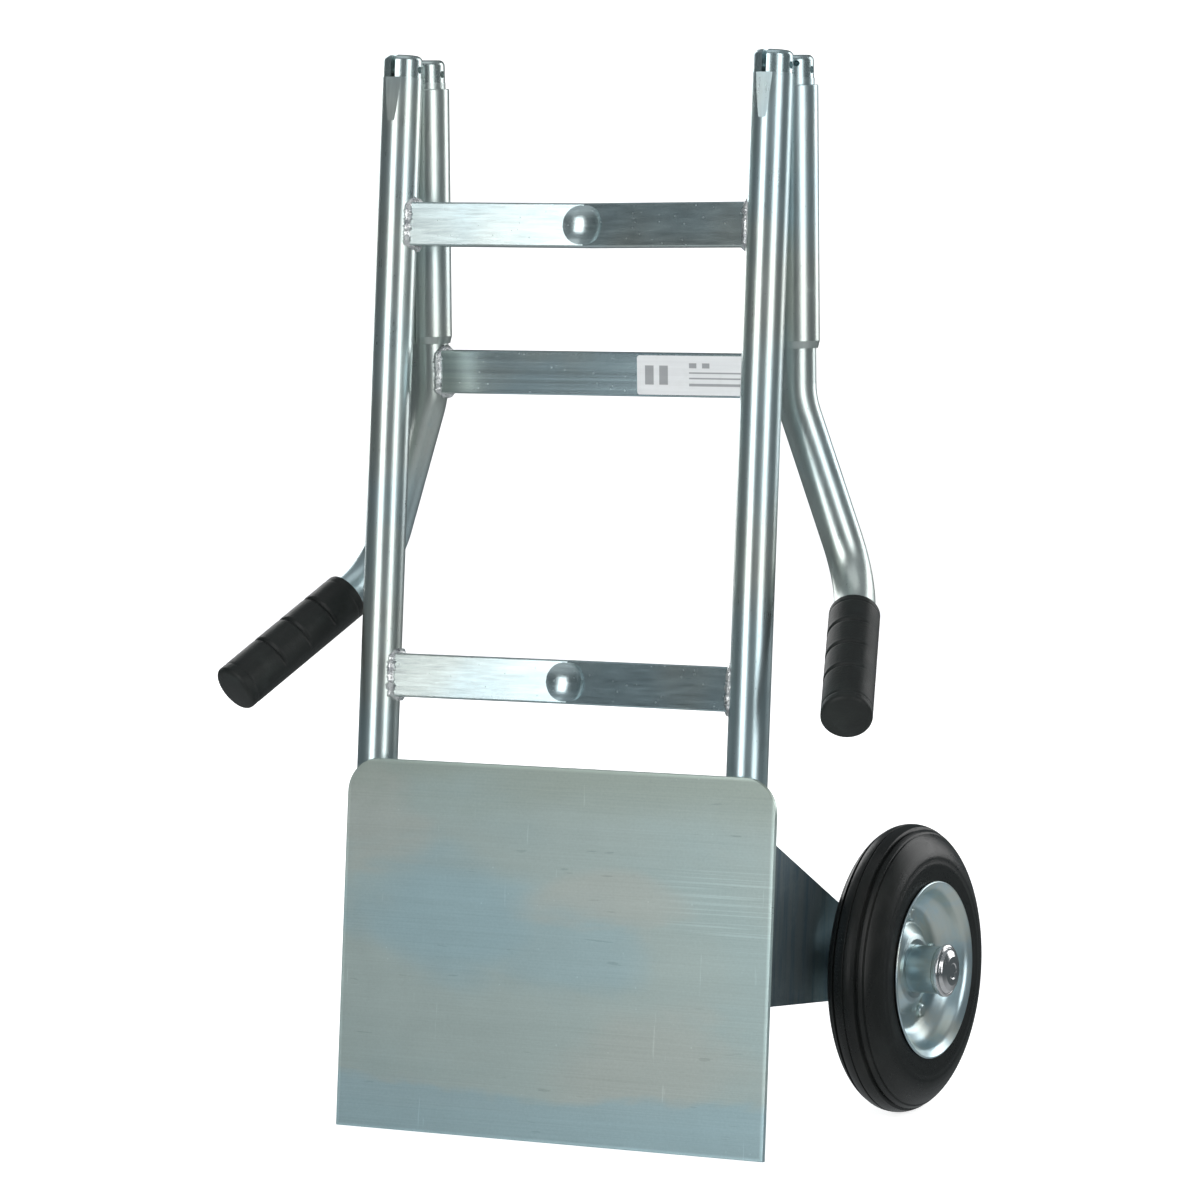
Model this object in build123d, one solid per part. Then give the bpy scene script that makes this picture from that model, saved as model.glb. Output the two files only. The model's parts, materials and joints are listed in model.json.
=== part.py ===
from build123d import *
from math import acos, atan2, cos, degrees, hypot, radians, sin, tan
import os

# Folding hand truck in its folded state, leaning back on its wheels and on the edge of the toe plate.
# Every piece is modelled with the frame tubes upright: X across the truck, Y to the back, Z up,
# the lower edge of the folded toe plate at Z = 0. stand() then leans the finished piece back.

# frame tubes
TUBE_OD = 28.0
TUBE_WALL = 2.0
TUBE_X = 143.5               # half the distance between the two tube axes
CAP_TOP = 739.5
CAP_HEIGHT = 15.5
CAP_OD = 27.2
PIN_DROP = 10.0              # fold pins sit this far below the top of the caps
PLUG_SPIGOT = 26.0           # length of the plug inside its tube

# crossbars
BAR_HEIGHT = 30.0
BAR_DEPTH = 15.0
BAR_WALL = 1.5
BAR_BOW = 13.5               # the two frame crossbars are bent back by this much in the middle
UPPER_BAR_Z = 608.0
LOWER_BAR_Z = 296.5

# fold joint and handle frame
FOLD_PITCH = 31.0            # distance between the frame pin and the handle pin
PIN_D = 5.0
LINK_THICKNESS = 2.6
LINK_WIDTH = 10.0
SLOT_WIDTH = 3.4
HANDLE_TILT = 5.5            # degrees the folded handle frame hangs away from the frame tubes
HANDLE_PATH = ((0.0, 0.0, -5.5), (0.0, 0.0, -222.0), (43.0, 4.0, -345.5), (91.3, -111.5, -421.5))
HANDLE_BENDS = (65.0, 60.0)
HANDLE_BAR_Z = -221.5
GRIP_OD = 35.0
GRIP_LENGTH = 115.0
GRIP_FRONT = 4.0             # rubber beyond the end of the tube
SLEEVE_OD = 33.0
SLEEVE_BORE = 28.7
SLEEVE_TOP = -10.0
SLEEVE_LENGTH = 177.0
SLEEVE_SLOT = 5.0

# toe plate and its hinge
PLATE_WIDTH = 330.0
PLATE_HEIGHT = 254.0
PLATE_T = 4.0
PLATE_CORNER = 24.0
PLATE_SHIFT = 11.0           # the plate sits off the centre line, to the right
PLATE_BACK = -17.0           # Y of the face towards the tubes
HINGE_Z = 42.0
HINGE_ROD_D = 10.0
TUBE_END_R = 16.6            # tube ends are rounded to this radius about the hinge
EAR_T = 4.0
EAR_GAP = 2.0

# wheel brackets, axle and wheels
BRACKET_T = 4.0
AXLE_Y = 184.5
AXLE_Z = 121.0
AXLE_D = 20.0
WHEEL_R = 100.0
WHEEL_X = 178.6              # middle plane of each wheel
TYRE_WIDTH = 42.0
TYRE_MID_R = 72.0            # radius at which the tyre is widest
RIM_R = 62.0
RIM_DEPTH = 21.8             # from the middle plane to the outer lip
RIM_T = 1.6
HUB_OD = 33.0
HUB_BORE = 28.0
HUB_LENGTH = 53.0
RIVETS = 5
RIVET_PCD = 75.0
AXLE_CAP_OD = 36.5

TUBE_R = TUBE_OD / 2
PIN_Z = CAP_TOP - PIN_DROP
SEAM_Z = CAP_TOP - CAP_HEIGHT
TUBE_SIDE = TUBE_X + TUBE_R
BRACKET_X = TUBE_X + BRACKET_T / 2      # outer face of a bracket
REACH = AXLE_Y - PLATE_BACK
LEAN = acos(WHEEL_R / hypot(AXLE_Z, REACH)) - atan2(REACH, AXLE_Z)


def leaned_y(y, z):
    return y * cos(LEAN) + z * sin(LEAN)


BOX_FRONT = leaned_y(PLATE_BACK - PLATE_T, 0)
BOX_BACK = leaned_y(AXLE_Y, AXLE_Z) + WHEEL_R
STAND = Pos(0, -(BOX_FRONT + BOX_BACK) / 2, PLATE_BACK * sin(LEAN)) * Rot(-degrees(LEAN), 0, 0)
HANDLE = Pos(0, FOLD_PITCH, PIN_Z) * Rot(HANDLE_TILT, 0, 0)


def bar_x(diameter, x0, x1, y=0.0, z=0.0):
    """Round bar along X."""
    return Pos((x0 + x1) / 2, y, z) * Rot(0, 90, 0) * Cylinder(diameter / 2, abs(x1 - x0))


def bar_z(diameter, z0, z1, x=0.0, y=0.0):
    """Round bar along Z."""
    return Pos(x, y, (z0 + z1) / 2) * Cylinder(diameter / 2, z1 - z0)


def block(x0, x1, y0, y1, z0, z1):
    """Box between two corners."""
    middle = ((x0 + x1) / 2, (y0 + y1) / 2, (z0 + z1) / 2)
    return Pos(*middle) * Box(abs(x1 - x0), abs(y1 - y0), abs(z1 - z0))


def slab_x(outline, x0, x1):
    """Flat plate with a (Y, Z) outline, from x0 to x1."""
    face = Plane.YZ.offset(x0) * outline
    return extrude(face, amount=x1 - x0)


def turned(profile):
    """Solid of revolution about the wheel axis from (X, radius) points, centred on the wheel."""
    face = make_face(Polyline(*profile, close=True))
    return Pos(0, AXLE_Y, AXLE_Z) * revolve(face, Axis.X)


def mirrored(part):
    """The same piece on the other side of the truck."""
    return mirror(part, about=Plane.YZ)


def bent_path(points, radii):
    """Straight runs through the points, with an arc of the given radius at each inner point."""
    spots = [Vector(*point) for point in points]
    runs = []
    start = spots[0]
    for before, corner, after, radius in zip(spots, spots[1:], spots[2:], radii):
        way_in = (corner - before).normalized()
        way_out = (after - corner).normalized()
        half = radians(way_in.get_angle(way_out)) / 2
        first = corner - way_in * radius * tan(half)
        last = corner + way_out * radius * tan(half)
        inward = (way_out - way_in).normalized()
        middle = corner + inward * radius * (1 / cos(half) - 1)
        runs += [Line(start, first), ThreePointArc(first, middle, last)]
        start = last
    runs.append(Line(start, spots[-1]))
    return Wire([run.edge() for run in runs])


def at_direction(point, way):
    """Plane at a point, facing along a direction."""
    return Plane(origin=point, z_dir=way)


def save(name, solid, handle=False):
    """Lean the piece back with the whole truck and write it."""
    place = STAND * HANDLE if handle else STAND
    shape = place * solid
    shape.label = name
    export_step(shape, f"parts/{name}.step")


# ---------------------------------------------------------------- front frame

def frame_tube():
    """Tube with a rounded foot, a crimped flat below the cap and holes for the hinge rod."""
    tube = bar_z(TUBE_OD, HINGE_Z - TUBE_END_R, SEAM_Z, TUBE_X)
    tube -= bar_z(TUBE_OD - 2 * TUBE_WALL, HINGE_Z - TUBE_END_R, SEAM_Z, TUBE_X)
    foot = block(TUBE_X - 20, TUBE_X + 20, -20, 0, HINGE_Z - 20, HINGE_Z)
    tube -= foot - bar_x(2 * TUBE_END_R, TUBE_X - 21, TUBE_X + 21, 0, HINGE_Z)
    tube -= bar_x(HINGE_ROD_D, TUBE_X - 20, TUBE_X + 20, 0, HINGE_Z)
    crimp = Pos(TUBE_X, -TUBE_R - 6.6, SEAM_Z) * Rot(-2.2, 0, 0) * Box(30, 16, 60)
    return tube - crimp


def end_plug(front_hole):
    """Slotted plug with its pin hole at the origin and the rounded cap above it."""
    cap_base = PIN_DROP - CAP_HEIGHT
    cap = bar_z(CAP_OD, cap_base, PIN_DROP)
    cap = fillet(cap.edges().sort_by(Axis.Z)[-1], 4.0)
    plug = cap + bar_z(TUBE_OD - 2 * TUBE_WALL, cap_base - PLUG_SPIGOT, cap_base)
    plug -= block(-SLOT_WIDTH / 2, SLOT_WIDTH / 2, -20, 20, cap_base, PIN_DROP + 1)
    plug -= bar_x(PIN_D, -20, 20)
    if front_hole:
        plug -= Pos(7.4, -10, 4.2) * Rot(90, 0, 0) * Cylinder(2.0, 12)
    return Pos(TUBE_X, 0, 0) * plug


def bar_section(x0, x1, z0, bow=0.0, inset=0.0):
    """Plan shape of a crossbar, bent back in the middle, raised to the height of the bar."""
    front = -BAR_DEPTH / 2 + inset
    back = BAR_DEPTH / 2 - inset
    centre = (x0 + x1) / 2
    plan = make_face(Polyline((x0, front), (centre, front + bow), (x1, front), (x1, back),
                              (centre, back + bow), (x0, back), close=True))
    return Pos(0, 0, z0 + inset) * extrude(plan, amount=BAR_HEIGHT - 2 * inset)


def crossbar(z0, bow=0.0):
    """Rectangular tube coped to the round tubes, with a pressed hollow where it is bent."""
    reach = TUBE_X - 3
    bar = bar_section(-reach, reach, z0, bow)
    bar = fillet(bar.edges().filter_by(Axis.Z, reverse=True).filter_by(GeomType.LINE), 1.4)
    hollow = bar_section(-reach - 1, reach + 1, z0, bow * (reach + 1) / reach, BAR_WALL)
    if bow:
        press = block(-19, 19, -20, 40, z0, z0 + BAR_HEIGHT)
        hollow -= press
        depth = 5.5
        ball = 24.0
        centre_y = -BAR_DEPTH / 2 + bow - 1.5 + depth - ball
        bar -= Pos(0, centre_y, z0 + BAR_HEIGHT / 2) * Sphere(ball)
    bar -= hollow
    for side in (-1, 1):
        bar -= bar_z(TUBE_OD, z0 - 1, z0 + BAR_HEIGHT + 1, side * TUBE_X)
    return bar


def bar_welds(z0, bow=0.0):
    """Weld beads down the front and back corners of both ends of a crossbar."""
    drop = bow * 13 / (TUBE_X - 3)
    beads = []
    for side in (-1, 1):
        for face in (-1, 1):
            y = face * BAR_DEPTH / 2 + drop
            bead = bar_z(6.0, z0 + 1, z0 + BAR_HEIGHT - 1, side * (TUBE_X - 12.4), y + face * 0.4)
            bead = fillet(bead.edges(), 2.0)
            bead -= bar_z(TUBE_OD, z0 - 1, z0 + BAR_HEIGHT + 1, side * TUBE_X)
            bead -= bar_section(3 - TUBE_X, TUBE_X - 3, z0, bow)
            beads.append(bead.solids().sort_by(SortBy.VOLUME)[-1])
    return beads


# ---------------------------------------------------------------- fold joint

def fold_link():
    """Flat link from the frame pin to the handle pin, standing in the slots of both plugs."""
    outline = SlotCenterToCenter(FOLD_PITCH, LINK_WIDTH)
    outline = Pos(FOLD_PITCH / 2, PIN_Z) * outline
    half = LINK_THICKNESS / 2
    link = slab_x(outline, TUBE_X - half, TUBE_X + half)
    for y in (0.0, FOLD_PITCH):
        link -= bar_x(PIN_D + 0.1, TUBE_X - 5, TUBE_X + 5, y, PIN_Z)
    return link


def fold_pin():
    """Pin through a plug, flush with the cap at both ends."""
    half = 11.6
    return bar_x(PIN_D, TUBE_X - half, TUBE_X + half)


# ---------------------------------------------------------------- handle frame

def handle_tube():
    """Bent tube from the fold joint down to the grip."""
    path = bent_path([(TUBE_X + x, y, z) for x, y, z in HANDLE_PATH], HANDLE_BENDS)
    start = Plane(path @ 0, z_dir=path % 0)
    outer = sweep(start * Circle(TUBE_R), path=path)
    inner = sweep(start * Circle(TUBE_R - TUBE_WALL), path=path)
    return outer - inner


def grip_line():
    """Open end of the grip and its direction."""
    last = Vector(TUBE_X + HANDLE_PATH[-1][0], *HANDLE_PATH[-1][1:])
    before = Vector(TUBE_X + HANDLE_PATH[-2][0], *HANDLE_PATH[-2][1:])
    way = (last - before).normalized()
    return last - way * (GRIP_LENGTH - GRIP_FRONT), way


def grip():
    """Rubber grip with three thin ring grooves and a rounded closed end."""
    body = Pos(0, 0, GRIP_LENGTH / 2) * Cylinder(GRIP_OD / 2, GRIP_LENGTH)
    body = fillet(body.edges().sort_by(Axis.Z)[-1], 3.0)
    body = fillet(body.edges().sort_by(Axis.Z)[0], 1.5)
    for z in (26.0, 52.0, 78.0):
        body -= Pos(0, 0, z) * (Cylinder(GRIP_OD / 2 + 1, 1.6) - Cylinder(GRIP_OD / 2 - 0.8, 1.6))
    body -= Pos(0, 0, (GRIP_LENGTH - GRIP_FRONT) / 2) * Cylinder(TUBE_R, GRIP_LENGTH - GRIP_FRONT)
    point, way = grip_line()
    return at_direction(point, way) * body


def sleeve():
    """Locking sleeve with a lengthwise slot on the side of the frame tube."""
    foot = SLEEVE_TOP - SLEEVE_LENGTH
    body = bar_z(SLEEVE_OD, foot, SLEEVE_TOP)
    body = chamfer(body.edges().sort_by(Axis.Z)[0], 5.0, 1.2)
    body = fillet(body.edges().sort_by(Axis.Z)[-1], 0.8)
    body -= bar_z(SLEEVE_BORE, foot - 1, SLEEVE_TOP + 1)
    body -= block(-SLEEVE_SLOT / 2, SLEEVE_SLOT / 2, -SLEEVE_OD, 0, foot - 1, SLEEVE_TOP + 1)
    return Pos(TUBE_X, 0, 0) * body


# ---------------------------------------------------------------- toe plate

def toe_plate():
    """Flat steel plate with two rounded corners at its free edge."""
    x0 = PLATE_SHIFT - PLATE_WIDTH / 2
    x1 = PLATE_SHIFT + PLATE_WIDTH / 2
    plate = block(x0, x1, PLATE_BACK - PLATE_T, PLATE_BACK, 0, PLATE_HEIGHT)
    corners = plate.edges().filter_by(Axis.Y).group_by(Axis.Z)[-1]
    plate = fillet(corners, PLATE_CORNER)
    return fillet(plate.edges().filter_by(Axis.Y, reverse=True), 0.6)


def toe_ears():
    """Ears on the back of the plate that turn on the hinge rod, inside each frame tube."""
    height = 11.0
    base = Polyline((PLATE_BACK, HINGE_Z - 18), (0, HINGE_Z - height), (0, HINGE_Z + height),
                    (PLATE_BACK, HINGE_Z + 30), close=True)
    outline = make_face(base) + Pos(0, HINGE_Z) * Circle(height)
    outline -= Pos(0, HINGE_Z) * Circle(HINGE_ROD_D / 2 + 0.1)
    x1 = TUBE_X - TUBE_R - EAR_GAP
    ear = slab_x(outline, x1 - EAR_T, x1)
    return [ear, mirrored(ear)]


# ---------------------------------------------------------------- wheel brackets and axle

def bracket():
    """Steel side plate standing on the back of the frame tube and reaching to the axle."""
    outline = make_face(Polyline((6, 98), (190, 98), (207, 112), (207, 139), (6, 222.5), close=True))
    outline = fillet(outline.vertices().group_by(Axis.X)[-1], 12.0)
    outline -= Pos(AXLE_Y, AXLE_Z) * Circle(AXLE_D / 2)
    plate = slab_x(outline, BRACKET_X - BRACKET_T, BRACKET_X)
    return plate - bar_z(TUBE_OD, 90, 240, TUBE_X)


def bracket_welds():
    """Weld beads in the two corners between a frame tube and its bracket."""
    beads = []
    for face in (-1, 1):
        bead = bar_z(6.0, 102, 214, TUBE_X + face * 3.4, TUBE_R + 0.6)
        bead = fillet(bead.edges(), 2.0)
        bead -= bar_z(TUBE_OD, 90, 240, TUBE_X)
        bead -= block(BRACKET_X - BRACKET_T, BRACKET_X, 0, 40, 90, 240)
        beads.append(bead.solids().sort_by(SortBy.VOLUME)[-1])
    return beads


HUB_IN = WHEEL_X - HUB_LENGTH / 2
HUB_OUT = WHEEL_X + HUB_LENGTH / 2
WASHER_T = 2.0
GAP = 0.35
SPACER_END = HUB_IN - GAP - WASHER_T
CAP_START = HUB_OUT + GAP + WASHER_T
AXLE_END = CAP_START + 3.5


def ring_x(outer, inner, x0, x1):
    """Ring on the axle line."""
    return bar_x(outer, x0, x1, AXLE_Y, AXLE_Z) - bar_x(inner, x0, x1, AXLE_Y, AXLE_Z)


def axle_cap():
    """Domed push-on cap that closes the end of the axle."""
    cap = bar_x(AXLE_CAP_OD, CAP_START, CAP_START + 7.5, AXLE_Y, AXLE_Z)
    cap = fillet(cap.edges().sort_by(Axis.X)[-1], 5.5)
    return cap - bar_x(AXLE_D, CAP_START, AXLE_END, AXLE_Y, AXLE_Z)


# ---------------------------------------------------------------- wheel (right side; the left is its mirror)

def rim_half(side):
    """Pressed rim half: raised boss, flat web, sloping wall and rolled lip."""
    hub = HUB_OD / 2
    front = [(6.0, hub), (6.0, hub + 4.0), (0.0, 30.0), (0.0, 46.0), (9.0, 54.0), (18.0, 57.4),
             (RIM_DEPTH - 1.2, RIM_R - 1.0), (RIM_DEPTH, RIM_R - 0.4)]
    back = [(RIM_DEPTH + 1.0, RIM_R - 1.6), (19.0, 55.9), (10.0, 52.4), (RIM_T, 44.6),
            (RIM_T, 30.6), (7.6, hub + 4.9), (7.6, hub)]
    outline = [(WHEEL_X + side * x, r) for x, r in front + back]
    return turned(outline)


def tyre():
    """Solid rubber tyre of rounded section with ring grooves in its tread, seated on the rim halves."""
    seat = [(0.0, 46.0), (9.0, 54.0), (18.0, 57.4), (RIM_DEPTH - 1.2, RIM_R - 1.0)]
    wall = [(RIM_DEPTH - 1.4, 65.0)] + [section_point(degree) for degree in (0, 15, 30, 43)]
    tread = []
    for degree, width, depth in ((53, 0.6, 0.8), (66, 1.3, 2.4), (90, 0.7, 1.0)):
        x, r = section_point(degree)
        tread.append((x + width, section_radius(x + width)))
        tread.append((x + width / 2, r - depth))
        if degree < 90:
            tread += [(x - width / 2, r - depth), (x - width, section_radius(x - width)),
                      section_point(degree + 7)]
    side = seat + wall + tread
    other = [(-x, r) for x, r in reversed(side) if x > 0.01]
    outline = [(WHEEL_X + x, r) for x, r in side + other]
    return turned(outline)


def section_point(degree):
    """Point on the rounded section of the tyre: 0 on its side, 90 on the tread."""
    angle = radians(degree)
    return TYRE_WIDTH / 2 * cos(angle), TYRE_MID_R + (WHEEL_R - TYRE_MID_R) * sin(angle)


def section_radius(x):
    """Radius of the rounded section at a distance from the middle plane."""
    return TYRE_MID_R + (WHEEL_R - TYRE_MID_R) * (1 - (2 * x / TYRE_WIDTH) ** 2) ** 0.5


def rivets():
    """Rivets that hold the two rim halves together."""
    result = []
    for index in range(RIVETS):
        angle = radians(90 + 360 / RIVETS * index)
        y = AXLE_Y + RIVET_PCD / 2 * cos(angle)
        z = AXLE_Z + RIVET_PCD / 2 * sin(angle)
        body = bar_x(6.0, WHEEL_X - RIM_T, WHEEL_X + RIM_T, y, z)
        for side in (-1, 1):
            inner = WHEEL_X + side * RIM_T
            head = bar_x(10.0, inner, inner + side * 2.6, y, z)
            head = fillet(head.edges().sort_by(Axis.X)[-1 if side > 0 else 0], 2.2)
            body += head
        result.append(body)
    return result


def drilled(part):
    """Rim half with its rivet holes."""
    for index in range(RIVETS):
        angle = radians(90 + 360 / RIVETS * index)
        y = AXLE_Y + RIVET_PCD / 2 * cos(angle)
        z = AXLE_Z + RIVET_PCD / 2 * sin(angle)
        part -= bar_x(6.0, WHEEL_X - 5, WHEEL_X + 5, y, z)
    return part


def bushes():
    """Two flanged bearing bushes pressed into the hub tube."""
    length = 24.0
    result = []
    for end, way in ((HUB_IN, 1), (HUB_OUT, -1)):
        bush = ring_x(HUB_BORE, AXLE_D + 0.12, end, end + way * length)
        result.append(bush)
    return result


def label_plate():
    """Blank rating label on the handle crossbar."""
    front = -BAR_DEPTH / 2
    label = block(26, 126, front - 0.3, front, HANDLE_BAR_Z + 1.6, HANDLE_BAR_Z + BAR_HEIGHT - 1.6)
    return fillet(label.edges().filter_by(Axis.Y), 2.0)


def make_parts():
    os.makedirs("parts", exist_ok=True)

    sides = (("right", 1), ("left", -1))
    for name, side in sides:
        def place(part):
            return part if side > 0 else mirrored(part)

        save(f"{name}_frame_tube", place(frame_tube()))
        save(f"{name}_frame_plug", place(Pos(0, 0, PIN_Z) * end_plug(False)))
        save(f"{name}_fold_link", place(fold_link()))
        save(f"{name}_handle_tube", place(handle_tube()), handle=True)
        save(f"{name}_handle_plug", place(end_plug(True)), handle=True)
        save(f"{name}_sleeve", place(sleeve()), handle=True)
        save(f"{name}_grip", place(grip()), handle=True)
        save(f"{name}_wheel_bracket", place(bracket()))
        save(f"{name}_bracket_welds", Compound([place(bead) for bead in bracket_welds()]))
        save(f"{name}_axle_spacer", place(ring_x(28.0, AXLE_D, BRACKET_X, SPACER_END)))
        washers = [ring_x(33.0, AXLE_D, SPACER_END, SPACER_END + WASHER_T),
                   ring_x(33.0, AXLE_D, HUB_OUT + GAP, HUB_OUT + GAP + WASHER_T)]
        save(f"{name}_axle_washers", Compound([place(washer) for washer in washers]))
        save(f"{name}_axle_cap", place(axle_cap()))
        save(f"{name}_tyre", place(tyre()))
        save(f"{name}_outer_rim", place(drilled(rim_half(1))))
        save(f"{name}_inner_rim", place(drilled(rim_half(-1))))
        save(f"{name}_rim_rivets", Compound([place(rivet) for rivet in rivets()]))
        save(f"{name}_hub_tube", place(ring_x(HUB_OD, HUB_BORE, HUB_IN, HUB_OUT)))
        save(f"{name}_hub_bushes", Compound([place(bush) for bush in bushes()]))

    save("upper_crossbar", crossbar(UPPER_BAR_Z, BAR_BOW))
    save("lower_crossbar", crossbar(LOWER_BAR_Z, BAR_BOW))
    save("frame_welds", Compound(bar_welds(UPPER_BAR_Z, BAR_BOW) + bar_welds(LOWER_BAR_Z, BAR_BOW)))
    pins = [fold_pin(), mirrored(fold_pin())]
    save("frame_fold_pins", Compound([Pos(0, 0, PIN_Z) * pin for pin in pins]))
    save("handle_fold_pins", Compound(pins), handle=True)
    save("handle_crossbar", crossbar(HANDLE_BAR_Z), handle=True)
    save("handle_welds", Compound(bar_welds(HANDLE_BAR_Z)), handle=True)
    save("rating_label", label_plate(), handle=True)
    save("toe_plate", toe_plate())
    save("toe_plate_ears", Compound(toe_ears()))
    rod_end = TUBE_SIDE + 4
    save("toe_hinge_rod", bar_x(HINGE_ROD_D, -rod_end, rod_end, 0, HINGE_Z))
    clip = bar_x(16, TUBE_SIDE, TUBE_SIDE + 2, 0, HINGE_Z) - bar_x(HINGE_ROD_D, 150, 170, 0, HINGE_Z)
    save("toe_rod_clips", Compound([clip, mirrored(clip)]))
    save("axle", bar_x(AXLE_D, -AXLE_END, AXLE_END, AXLE_Y, AXLE_Z))


make_parts()
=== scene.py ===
import json
import math
import random

import bmesh
import bpy
from bpy.props import FloatProperty, FloatVectorProperty, IntProperty, PointerProperty
from mathutils import Matrix, Vector, noise


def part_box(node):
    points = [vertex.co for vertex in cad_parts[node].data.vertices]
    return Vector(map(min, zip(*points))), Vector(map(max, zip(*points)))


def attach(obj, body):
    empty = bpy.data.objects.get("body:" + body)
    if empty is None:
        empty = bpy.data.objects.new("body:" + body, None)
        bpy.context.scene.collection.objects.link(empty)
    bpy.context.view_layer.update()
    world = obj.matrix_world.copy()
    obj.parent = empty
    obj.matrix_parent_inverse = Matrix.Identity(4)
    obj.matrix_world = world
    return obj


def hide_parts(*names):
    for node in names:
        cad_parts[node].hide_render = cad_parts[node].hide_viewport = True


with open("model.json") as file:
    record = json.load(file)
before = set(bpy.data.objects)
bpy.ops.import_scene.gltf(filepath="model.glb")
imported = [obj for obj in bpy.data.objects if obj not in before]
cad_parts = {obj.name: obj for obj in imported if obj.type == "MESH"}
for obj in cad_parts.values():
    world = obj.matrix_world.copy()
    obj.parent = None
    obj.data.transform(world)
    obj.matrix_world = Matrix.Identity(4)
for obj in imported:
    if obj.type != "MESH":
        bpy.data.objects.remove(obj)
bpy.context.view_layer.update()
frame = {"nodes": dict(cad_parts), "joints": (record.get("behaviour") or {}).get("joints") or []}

bl_info = {
    "name": "Folding Hand Truck",
    "version": (1, 0, 0),
    "blender": (4, 5, 0),
    "location": "3D View > Sidebar > Hand Truck",
    "description": "Finishes, weld beads, wheels and grips for a folding hand truck",
    "category": "Add Mesh",
}

SIDES = (("left", -1), ("right", 1))
JOINTS = {joint["name"]: joint for joint in frame["joints"]}
MM = 0.001


# ---- where things are

def upright():
    """Turns tube-frame positions (X across, Y back, Z up the tubes) into the truck's own frame."""
    hinge = Vector(JOINTS["toe_plate_fold"]["pos_m"])
    pin = Vector(JOINTS["link_swing"]["pos_m"])
    return axes_at(hinge, (pin - hinge).normalized(), -sizes().hinge_height)


def hanging():
    """The same for the handle frame, measured up its tubes from the handle fold pin."""
    pin = Vector(JOINTS["handle_fold"]["pos_m"])
    return axes_at(pin, Vector(JOINTS["left_sleeve_slide"]["axis"]).normalized(), 0.0)


def axes_at(point, up, lift):
    """Axes with Z along up and X across the truck, starting the lift above the point."""
    across = Vector((1, 0, 0))
    back = up.cross(across)
    turn = Matrix((across, back, up)).transposed().to_4x4()
    return Matrix.Translation(point + up * lift) @ turn


def wheel_place(side_name):
    """Centre of a wheel, with +X pointing outwards from the truck."""
    centre = Vector(JOINTS[f"{side_name}_wheel_spin"]["pos_m"])
    half_turn = 0 if side_name == "right" else math.pi
    return Matrix.Translation(centre) @ Matrix.Rotation(half_turn, 4, "Z")


def sizes():
    return bpy.context.scene.hand_truck_sizes


def finishes():
    return bpy.context.scene.hand_truck_finishes


def studio():
    return bpy.context.scene.hand_truck_studio


# ---- settings

class HandTruckSizes(bpy.types.PropertyGroup):
    """Sizes of the pieces that are finished here."""
    hinge_height: FloatProperty(
        name="Hinge height", description="Toe hinge above the edge of the folded toe plate",
        default=0.042, unit="LENGTH")
    tube_spread: FloatProperty(
        name="Tube spread", description="Half the distance between the frame tubes",
        default=0.1435, unit="LENGTH")
    tube_radius: FloatProperty(
        name="Tube radius", description="Outer radius of all tubes", default=0.014, unit="LENGTH")
    bar_height: FloatProperty(
        name="Crossbar height", description="Height of a crossbar", default=0.030, unit="LENGTH")
    bar_depth: FloatProperty(
        name="Crossbar depth", description="Depth of a crossbar", default=0.015, unit="LENGTH")
    bar_bow: FloatProperty(
        name="Crossbar bow", description="How far the frame crossbars bend back in the middle",
        default=0.0135, unit="LENGTH")
    bar_slope_reach: FloatProperty(
        name="Crossbar half length", description="Half length that the bow is spread over",
        default=0.1405, unit="LENGTH")
    upper_bar: FloatProperty(
        name="Upper crossbar", description="Height of the upper crossbar up the tubes",
        default=0.608, unit="LENGTH")
    lower_bar: FloatProperty(
        name="Lower crossbar", description="Height of the lower crossbar up the tubes",
        default=0.2965, unit="LENGTH")
    handle_bar: FloatProperty(
        name="Handle crossbar", description="Height of the handle crossbar above the handle pin",
        default=-0.2215, unit="LENGTH")
    bracket_foot: FloatProperty(
        name="Bracket foot", description="Lower end of the bracket weld, up the tubes",
        default=0.0985, unit="LENGTH")
    bracket_head: FloatProperty(
        name="Bracket head", description="Upper end of the bracket weld, up the tubes",
        default=0.2175, unit="LENGTH")
    bead_radius: FloatProperty(
        name="Weld bead radius", description="Radius of the weld beads", default=0.0029,
        unit="LENGTH")
    grip_end: FloatVectorProperty(
        name="Grip end", description="End of the right handle tube, from the handle fold pins",
        subtype="TRANSLATION", size=3, default=(0.2348, -0.1115, -0.4215))
    grip_bend: FloatVectorProperty(
        name="Grip bend", description="Corner of the right handle tube above the grip",
        subtype="TRANSLATION", size=3, default=(0.1865, 0.004, -0.3455))
    turning_steps: IntProperty(
        name="Turning steps", description="Steps round a turned piece", default=144, min=24)


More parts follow.
